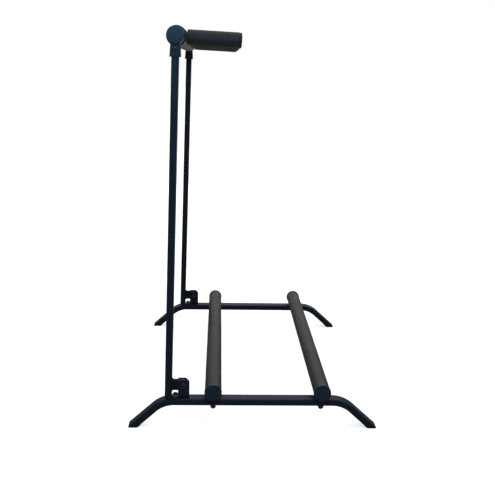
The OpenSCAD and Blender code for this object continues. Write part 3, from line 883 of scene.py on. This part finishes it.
def levelSeats(node, aim, top=True, sink=0.0):
    # The middle of the top or bottom face of each solid, or a little below it.
    seats = []
    for low, high in solidParts(node):
        level = (high.z if top else low.z) - sink
        seats.append((Vector(((low.x + high.x) / 2, (low.y + high.y) / 2, level)), aim))
    return seats


def sideSeats(node, sink=0.0, inward=False, axis=None):
    # The middle of the outer face of each solid, or a little inside it, or that face on an axis.
    seats = []
    for low, high in solidParts(node):
        side = 1 if low.x > 0 else -1
        middle = (low + high) / 2 if axis is None else axis
        face = max(abs(low.x), abs(high.x)) - sink
        seats.append((Vector((side * face, middle.y, middle.z)), right * (-side if inward else side)))
    return seats


def domedHead(tree, given, radius):
    shape = {label: given[label] for label in ("Rim", "Dome", "Shoulder")}
    return useTree(tree, domedDisc, {
        **fromLook(fastener, "Rings", "Sides"), **shape, "Radius": given[radius]})


def screwRowTree():
    # A domed screw on each seat, with its shank below and a cross or a hexagon sunk into its head.
    tree, given = newTree("screwRow", {
        **floats("Head Radius", "Rim", "Dome", "Shoulder", "Shank Radius", "Shank Length"),
        **floats("Recess Radius", "Recess Width", "Recess Depth"), "Is Cross": "Bool", **painted})
    length = calc(tree, "ADD", given["Shank Length"], calc(tree, "MULTIPLY", given["Rim"], 0.5))
    shank = geoNode(tree, "MeshCylinder", {
        "Vertices": fastener["shankSides"], "Radius": given["Shank Radius"], "Depth": length})
    quarter = calc(tree, "MULTIPLY", given["Rim"], 0.25)
    shankMiddle = vectorOf(tree, z=calc(tree, "MULTIPLY_ADD", given["Shank Length"], -0.5, quarter))
    head = domedHead(tree, given, "Head Radius")
    screw = combine(tree, "UNION", head, shift(tree, shank, shankMiddle))
    top = calc(tree, "ADD", given["Rim"], given["Dome"])
    low = vectorOf(tree, z=calc(tree, "SUBTRACT", top, given["Recess Depth"]))
    deep = calc(tree, "MULTIPLY", given["Recess Depth"], 2.0)
    corner = calc(tree, "MULTIPLY", given["Recess Radius"], math.sqrt(2))
    wing = pillar(tree, 4, calc(tree, "MULTIPLY", corner, fastener["recessTaper"]), corner, deep)
    slim = vectorOf(tree, 1.0, given["Recess Width"], 1.0)
    bar = shift(tree, shift(tree, wing, turn=(0, 0, math.pi / 4)), scale=slim)
    cross = combine(tree, "UNION", bar, shift(tree, bar, turn=(0, 0, math.pi / 2)))
    hexagon = pillar(tree, 6, given["Recess Radius"], given["Recess Radius"], deep)
    recess = geoNode(tree, "Switch",
                     {"Switch": given["Is Cross"], "False": hexagon, "True": cross},
                     input_type="GEOMETRY")
    cut = combine(tree, "DIFFERENCE", screw, shift(tree, recess, low))
    return paintAndEnd(tree, given, placeOnSeats(tree, given, cut))


def nutRowTree():
    # A chamfered hexagon nut on each seat with a collar or a dome on top.
    tree, given = newTree("nutRow", {
        **floats("Flats", "Hex Height", "Chamfer", "Collar Radius", "Rim", "Dome", "Shoulder"), **painted})
    high = given["Hex Height"]
    half = calc(tree, "MULTIPLY", given["Flats"], 0.5)
    corner = calc(tree, "DIVIDE", half, math.cos(math.radians(30)))
    block = pillar(tree, 6, corner, corner, high)
    reach = calc(tree, "DIVIDE", high, calc(tree, "TANGENT", given["Chamfer"]))
    top = calc(tree, "MULTIPLY", half, fastener["chamferStart"])
    cone = pillar(tree, fastener["sides"], calc(tree, "ADD", top, reach), top, high)
    chamfered = combine(tree, "INTERSECT", block, cone)
    seat = vectorOf(tree, z=calc(tree, "SUBTRACT", high, fastener["collarSink"]))
    nut = combine(tree, "UNION", chamfered, shift(tree, domedHead(tree, given, "Collar Radius"), seat))
    return paintAndEnd(tree, given, placeOnSeats(tree, given, nut))


def washerRowTree():
    # A flat ring on each seat with softened edges.
    tree, given = newTree("washerRow", {**ringSockets, **painted})
    half = vectorOf(tree, z=calc(tree, "MULTIPLY", given["Length"], 0.5))
    washer = placeOnSeats(tree, given, shift(tree, ringIn(tree, given), half))
    return paintAndEnd(tree, given, washer)


def makeScrews():
    tree = screwRowTree()
    crossHigh, pivotHigh = fastener["crossScrew"]["high"], fastener["pivotBolt"]["high"]
    behind = -spanAlong("finger_screws", neckAxis, fingerAim)[0] - fastener["fingerBolt"]["high"]
    fingerBolts = [(seat - fingerAim * behind, -fingerAim) for seat in fingerSeats]
    low, high = solidParts("pivot_bolts")[1]
    pivotLength = high.x - low.x - pivotHigh
    rows = [
        ("bracketScrews", "base", "crossScrew", "bracket_screws",
         levelSeats("bracket_screws", up, sink=crossHigh)),
        ("knuckleScrews", "upright_frame", "crossScrew", "knuckle_screws",
         sideSeats("knuckle_screws", crossHigh)),
        ("fingerBolts", "neck_bar", "fingerBolt", "finger_screws", fingerBolts),
        ("pivotBolts", "base", "pivotBolt", "pivot_bolts",
         sideSeats("pivot_bolts", pivotHigh, axis=pivot)),
    ]
    for name, body, kind, node, seats in rows:
        shape = fastener[kind]
        growRow(name, tree, body, [node], seats, {
            **fromLook(fastener, "Shoulder"),
            **fromLook(shape, "Head Radius", "Rim", "Shank Radius"),
            **fromLook(shape, "Recess Radius", "Recess Width", "Recess Depth"),
            "Dome": shape["high"] - shape["rim"],
            "Shank Length": shape.get("shankLength", pivotLength),
            "Is Cross": kind != "pivotBolt",
        })


def makeNuts():
    tree = nutRowTree()
    low, high = solidParts("pivot_nuts")[1]
    rows = [
        ("capNuts", "capNut", "cap_nuts", levelSeats("cap_nuts", -up), sizeOf("cap_nuts").z),
        ("lockNuts", "lockNut", "pivot_nuts", sideSeats("pivot_nuts", inward=True, axis=pivot),
         high.x - low.x),
    ]
    for name, kind, node, seats, tall in rows:
        shape = fastener[kind]
        growRow(name, tree, "base", [node], seats, {
            **fromLook(fastener, "Chamfer"),
            **fromLook(shape, "Flats", "Hex Height", "Collar Radius", "Rim", "Shoulder"),
            "Dome": tall - shape["hexHeight"] - shape["rim"],
        })


def makeWashers():
    tree = washerRowTree()
    flat = levelSeats("rail_washers", up, top=False)
    flatLow, flatHigh = solidParts("rail_washers")[0]
    upright = [(Vector((low.x, pivot.y, pivot.z)), right) for low, high in solidParts("pivot_washers")]
    thinLow, thinHigh = solidParts("pivot_washers")[0]
    rows = [
        ("railWashers", "base", "rail_washers", flat, sizeOf("rail_washers").z, flatHigh.x - flatLow.x),
        ("pivotWashers", "upright_frame", "pivot_washers", upright,
         thinHigh.x - thinLow.x, thinHigh.z - thinLow.z),
    ]
    for name, body, node, seats, thick, wide in rows:
        growRow(name, tree, body, [node], seats, {
            "Length": thick,
            "Outer Radius": wide / 2,
            "Bore Radius": fastener["pivotBolt"]["shankRadius"] + fastener["play"],
            "Edge Radius": fastener["washerEdge"],
            "Step": wide,
            **fromLook(fastener, "Sides"),
        })


makeScrews()
makeNuts()
makeWashers()
print("fasteners made")


# Bent, cut and moulded pieces with softened edges

softEdges = {
    "feet": 0.5 * mm,
    "brackets": 0.35 * mm,
    "uprights": 0.35 * mm,
    "saddles": 0.5 * mm,
    "plugs": 0.4 * mm,
    "steps": 3,
    "merge": 0.002 * mm,
    "from": math.radians(32),    # edges flatter than this stay as they are
    "flat": math.radians(0.4),   # faces nearer than this to one plane become one face
}


def softCopy(name, node, edge):
    # The node's own shape with its loose triangles joined and its sharp edges rounded over.
    mesh = bmesh.new()
    mesh.from_mesh(cadNodes[node].data)
    bmesh.ops.remove_doubles(mesh, verts=mesh.verts, dist=softEdges["merge"])
    bmesh.ops.dissolve_limit(mesh, angle_limit=softEdges["flat"], verts=mesh.verts, edges=mesh.edges)
    piece = newPiece(name)
    mesh.to_mesh(piece.data)
    mesh.free()
    bevel = piece.modifiers.new("softEdges", "BEVEL")
    bevel.width = edge
    bevel.segments = softEdges["steps"]
    bevel.limit_method = "ANGLE"
    bevel.angle_limit = softEdges["from"]
    bevel.use_clamp_overlap = True
    bevel.miter_outer = "MITER_ARC"
    bakePiece(piece)
    meltEdges(piece, node)
    return piece


def makeSoftCopies():
    rows = [("%s%sFoot" % (end, side.title()), "foot_%s_%s" % (end, side), "base", "feet")
            for end in ("front", "rear") for side in ("left", "right")]
    for side in ("left", "right"):
        rows.append((side + "HingeBracket", "hinge_bracket_" + side, "base", "brackets"))
        rows.append((side + "Upright", "upright_" + side, "upright_frame", "uprights"))
    rows.append(("barSaddles", "bar_saddles", "base", "saddles"))
    rows.append(("uprightPlugs", "upright_plugs", "upright_frame", "plugs"))
    for name, node, body, kind in rows:
        settle(softCopy(name, node, softEdges[kind]), body, slotOf(node), node)


makeSoftCopies()
print("soft-edged pieces made")


# Weld beads where the hinge arms meet the uprights

weldBead = {
    "radius": 1.3 * mm,
    "ripple": 1.7 * mm,        # length of one ripple
    "rippleSteps": 7,
    "rippleDepth": 0.16,       # share of the radius
    "wanderScale": 260,
    "wander": 1.2,             # unevenness, as a share of the ripples
    "armHalf": 2.5 * mm,
    "armHigh": 10 * mm,
    "outwards": 0.7 * mm,      # from the arm's faces to the middle of the bead
    "corner": 1.2 * mm,
    "sides": 14,
    "seed": 4.0,
}


def weldBeadTree():
    # A rippled bead of filler metal along a closed path.
    tree, given = newTree("weldBead", {
        **floats("Radius", "Ripple", "Ripple Depth", "Corner", "Seed"), "Sides": "Int", **painted})
    path = geoNode(tree, "MeshToCurve", {"Mesh": given["Geometry"]})
    rounded = roundOver(tree, path, given["Corner"], edgeSteps["weld"])
    step = calc(tree, "DIVIDE", given["Ripple"], float(weldBead["rippleSteps"]))
    fine = geoNode(tree, "ResampleCurve", {"Curve": rounded, "Length": step}, mode="LENGTH")
    along = geoNode(tree, "SplineParameter").outputs["Length"]
    turn = calc(tree, "DIVIDE", calc(tree, "MULTIPLY", along, 2 * math.pi), given["Ripple"])
    here = geoNode(tree, "InputPosition")
    uneven = noise(tree, here, weldBead["wanderScale"], W=given["Seed"])
    wave = calc(tree, "ADD", calc(tree, "SINE", turn), calc(tree, "MULTIPLY", uneven, weldBead["wander"]))
    share = calc(tree, "MULTIPLY_ADD", wave, given["Ripple Depth"], 1.0 - weldBead["rippleDepth"])
    wide = calc(tree, "MULTIPLY", given["Radius"], share)
    bead = sweep(tree, fine, circle(tree, given["Sides"], 1.0), Scale=wide)
    return paintAndEnd(tree, given, bead)


def makeWelds():
    uprightFront = pivot + uprightBack * (spanAlong("upright_right", pivot, uprightBack)[1] - tubeDeep)
    face = uprightFront - uprightBack * weldBead["outwards"]
    wide = weldBead["armHalf"] + weldBead["outwards"]
    high = weldBead["armHigh"] + weldBead["outwards"]
    points, edges = [], []
    for side in (-1, 1):
        start = len(points)
        for dx, dz in ((-wide, -high), (wide, -high), (wide, high), (-wide, high)):
            points.append(face + right * (side * railX + dx) + uprightAim * dz)
        edges += [(start + corner, start + (corner + 1) % 4) for corner in range(4)]
    piece = growPiece("hingeWelds", weldBeadTree(), {
        **fromLook(weldBead, "Radius", "Ripple", "Ripple Depth", "Corner", "Sides", "Seed"),
        "Material": finishes["black_steel"],
    }, points=points, edges=edges)
    settle(piece, "upright_frame", "black_steel")


makeWelds()
print("welds made")


# Moulded knuckles that hold the neck bar on the uprights

knuckleShape = {
    "fillet": 6.0 * mm,        # between the round head and the socket
    "filletSteps": 8,
    "topHalf": 7.9 * mm,       # half depth of the socket below the head
    "lowHalf": 8.9 * mm,       # and at its open end
    "edge": 1.6 * mm,          # rounding of the socket's long edges
    "headEdge": 0.5 * mm,
    "sink": 0.15 * mm,         # how far the fillet ends inside the head
    "clearance": 0.15 * mm,    # round the upright in its socket
    "cornerRadius": 2.6 * mm,  # of the hole for the upright
    "web": 5 * mm,             # between the neck bar's bore and that hole
    "boreTo": 5 * mm,          # past the middle of the knuckle
    "sides": 96,
    "edgeSteps": 6,
    "rimSteps": 3,
}


def knuckleOutline(headRadius, drop):
    # Front-to-back outline of the socket, flared into the round head by two fillets.
    fillet = knuckleShape["fillet"]
    reach = headRadius + fillet - knuckleShape["sink"]
    across = knuckleShape["topHalf"] + fillet
    level = math.sqrt(reach ** 2 - across ** 2)
    steps = knuckleShape["filletSteps"]
    turns = [math.pi - math.atan2(level, across) * step / steps for step in range(steps + 1)]
    flare = [(across + fillet * math.cos(turn), fillet * math.sin(turn) - level) for turn in turns[::-1]]
    half = flare + [(knuckleShape["lowHalf"], -drop)]
    return [(-y, z) for y, z in half] + half[::-1]


def meshPiece(name, mesh, place):
    bmesh.ops.recalc_face_normals(mesh, faces=mesh.faces)
    mesh.transform(place)
    piece = newPiece(name)
    mesh.to_mesh(piece.data)
    mesh.free()
    return piece


def roundEdges(mesh, edges, radius, steps):
    bmesh.ops.bevel(mesh, geom=edges, offset=radius, segments=steps, profile=0.5, affect="EDGES")


def roundedBlock(name, low, high, radius, place):
    # A box with its edges along Z rounded over.
    mesh = bmesh.new()
    size, middle = high - low, (low + high) / 2
    bmesh.ops.create_cube(mesh, size=1, matrix=Matrix.Translation(middle) @ Matrix.Diagonal((*size, 1)))
    tall = [edge for edge in mesh.edges if abs(edge.verts[0].co.z - edge.verts[1].co.z) > size.z / 2]
    roundEdges(mesh, tall, radius, knuckleShape["edgeSteps"])
    return meshPiece(name, mesh, place)


def roundBar(name, radius, start, end, edge, place):
    # A bar along X with softened rims.
    mesh = bmesh.new()
    turned = Matrix.Translation(((start + end) / 2, 0, 0)) @ Matrix.Rotation(math.pi / 2, 4, "Y")
    bmesh.ops.create_cone(mesh, cap_ends=True, segments=knuckleShape["sides"], radius1=radius,
                          radius2=radius, depth=end - start, matrix=turned)
    if edge:
        rims = [side for side in mesh.edges if any(len(face.verts) > 4 for face in side.link_faces)]
        roundEdges(mesh, rims, edge, knuckleShape["rimSteps"])
    return meshPiece(name, mesh, place)


def outlineSlab(name, outline, half, edge, place):
    # The outline made as thick as the knuckle is wide, its rims rounded over except at the open end.
    mesh = bmesh.new()
    face = mesh.faces.new([mesh.verts.new((-half, y, z)) for y, z in outline])
    grown = bmesh.ops.extrude_face_region(mesh, geom=[face])["geom"]
    moved = [item for item in grown if isinstance(item, bmesh.types.BMVert)]
    bmesh.ops.translate(mesh, verts=moved, vec=(2 * half, 0, 0))
    bmesh.ops.recalc_face_normals(mesh, faces=mesh.faces)
    lowest = min(z for y, z in outline)
    rims = [side for side in mesh.edges
            if abs(side.verts[0].co.x - side.verts[1].co.x) < half
            and max(point.co.z for point in side.verts) > lowest + tiny]
    roundEdges(mesh, rims, edge, knuckleShape["edgeSteps"])
    return meshPiece(name, mesh, place)


def makeKnuckle(side, sign):
    node = "knuckle_" + side
    shape, cover = knuckleShape, capShape["knuckleCover"]
    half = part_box("knuckle_cap_right")[1].x - cover["height"] - railX
    drop = -spanAlong(node, neckAxis, uprightAim)[0]
    place = Matrix((
        (sign, uprightBack.x, uprightAim.x, sign * railX),
        (0, uprightBack.y, uprightAim.y, neckAxis.y),
        (0, uprightBack.z, uprightAim.z, neckAxis.z),
        (0, 0, 0, 1)))
    outline = knuckleOutline(cover["radius"], drop)
    knuckle = outlineSlab(side + "Knuckle", outline, half, shape["edge"], place)
    head = roundBar("knuckleHead", cover["radius"], -half, half, shape["headEdge"], place)
    boreRadius = sizeOf("neck_bar_tube").y / 2
    halfWide, halfDeep = tubeWide / 2 + shape["clearance"], tubeDeep / 2 + shape["clearance"]
    low = Vector((-halfWide, -halfDeep, -2 * drop))
    high = Vector((halfWide, halfDeep, -boreRadius - shape["web"]))
    hole = roundedBlock("uprightHole", low, high, shape["cornerRadius"], place)
    bore = roundBar("neckBore", boreRadius, -2 * half, shape["boreTo"], 0, place)
    for other, operation in ((head, "UNION"), (hole, "DIFFERENCE"), (bore, "DIFFERENCE")):
        cut = knuckle.modifiers.new(other.name, "BOOLEAN")
        cut.operation = operation
        cut.solver = "EXACT"
        cut.object = other
    bakePiece(knuckle)
    for other in (head, hole, bore):
        bpy.data.objects.remove(other)
    meltEdges(knuckle, node)
    settle(knuckle, "upright_frame", slotOf(node), node)


makeKnuckle("left", -1)
makeKnuckle("right", 1)
print("knuckles moulded")


# Whatever is still plain gets its finish

def paintCadNodes():
    for part in frame["record"]["subparts"]:
        piece = cadNodes[part["node"]]
        if piece.hide_render:
            continue
        piece.data.materials.clear()
        piece.data.materials.append(finishes[part["material_slot"]])


paintCadNodes()
